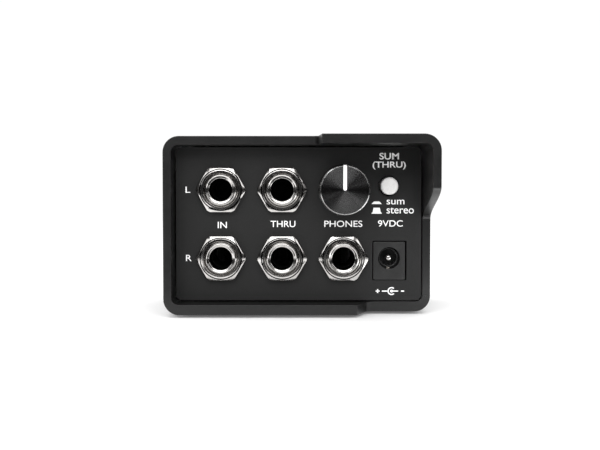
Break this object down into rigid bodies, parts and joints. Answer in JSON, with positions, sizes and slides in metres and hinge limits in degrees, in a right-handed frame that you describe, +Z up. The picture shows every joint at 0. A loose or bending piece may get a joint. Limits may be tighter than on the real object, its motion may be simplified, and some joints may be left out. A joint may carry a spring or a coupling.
{
  "type": "headphone amplifier",
  "caption": "Small stereo headphone amplifier: a hooded sleeve case around a recessed panel of quarter-inch sockets, volume knob, push button and DC inlet.",
  "frame": {"origin": "on the floor, under the centre of the bounding box", "axes": "+X to the right when facing the connector panel, which faces -Y; +Y to the rear; +Z up"},
  "size_m": [0.0756, 0.066, 0.0508],
  "materials": {
    "case_coat": "fine matt black powder coat on an aluminium extrusion",
    "panel_coat": "fine matt black powder coat on aluminium sheet, with white print",
    "bright_nickel": "bright nickel plate, lightly brushed",
    "black_anodised": "black anodised, spun",
    "black_steel": "black zinc",
    "plain_steel": "zinc plate",
    "spring_bronze": "satin",
    "black_plastic": "fine moulded",
    "white_plastic": "satin white",
    "foot_rubber": "matt",
    "circuit_board": "green solder mask on glass laminate"
  },
  "bodies": {
    "chassis": {"shell": "case_coat", "front_panel": "panel_coat", "rear_cover": "panel_coat", "rear_screw_1": "black_steel", "rear_screw_2": "black_steel", "rear_screw_3": "black_steel", "rear_screw_4": "black_steel", "foot_front_left": "foot_rubber", "foot_front_right": "foot_rubber", "foot_rear_left": "foot_rubber", "foot_rear_right": "foot_rubber", "lower_board": "circuit_board", "upper_board": "circuit_board", "board_connector": "black_plastic", "capacitor_1": "black_plastic", "capacitor_2": "black_plastic", "capacitor_3": "black_plastic", "capacitor_4": "black_plastic", "amplifier_chip": "black_plastic", "buffer_chip": "black_plastic", "regulator_chip": "black_plastic", "in_left_jack_body": "black_plastic", "in_left_jack_bushing": "bright_nickel", "in_left_jack_nut": "bright_nickel", "in_left_tip_spring": "spring_bronze", "in_right_jack_body": "black_plastic", "in_right_jack_bushing": "bright_nickel", "in_right_jack_nut": "bright_nickel", "in_right_tip_spring": "spring_bronze", "thru_left_jack_body": "black_plastic", "thru_left_jack_bushing": "bright_nickel", "thru_left_jack_nut": "bright_nickel", "thru_left_tip_spring": "spring_bronze", "thru_right_jack_body": "black_plastic", "thru_right_jack_bushing": "bright_nickel", "thru_right_jack_nut": "bright_nickel", "thru_right_tip_spring": "spring_bronze", "phones_jack_body": "black_plastic", "phones_jack_bushing": "bright_nickel", "phones_jack_nut": "bright_nickel", "phones_tip_spring": "spring_bronze", "pot_body": "plain_steel", "pot_nut": "plain_steel", "switch_body": "black_plastic", "dc_inlet_body": "black_plastic", "dc_inlet_pin": "bright_nickel", "dc_inlet_spring": "bright_nickel"},
    "volume_control": {"volume_knob": "black_anodised", "knob_set_screw": "plain_steel", "pot_shaft": "plain_steel"},
    "mode_button": {"button_cap": "white_plastic", "switch_plunger": "white_plastic"}
  },
  "joints": [
    {"name": "volume_turn", "type": "hinge", "parent": "chassis", "child": "volume_control", "pos_m": [0.0128, -0.009, 0.0358], "axis": [0, 1, 0], "range_deg": [-150, 150]},
    {"name": "button_press", "type": "slide", "parent": "chassis", "child": "mode_button", "axis": [0, 1, 0], "range_m": [0, 0.0022], "stiffness_N_per_m": 400, "springref_m": -0.002}
  ]
}
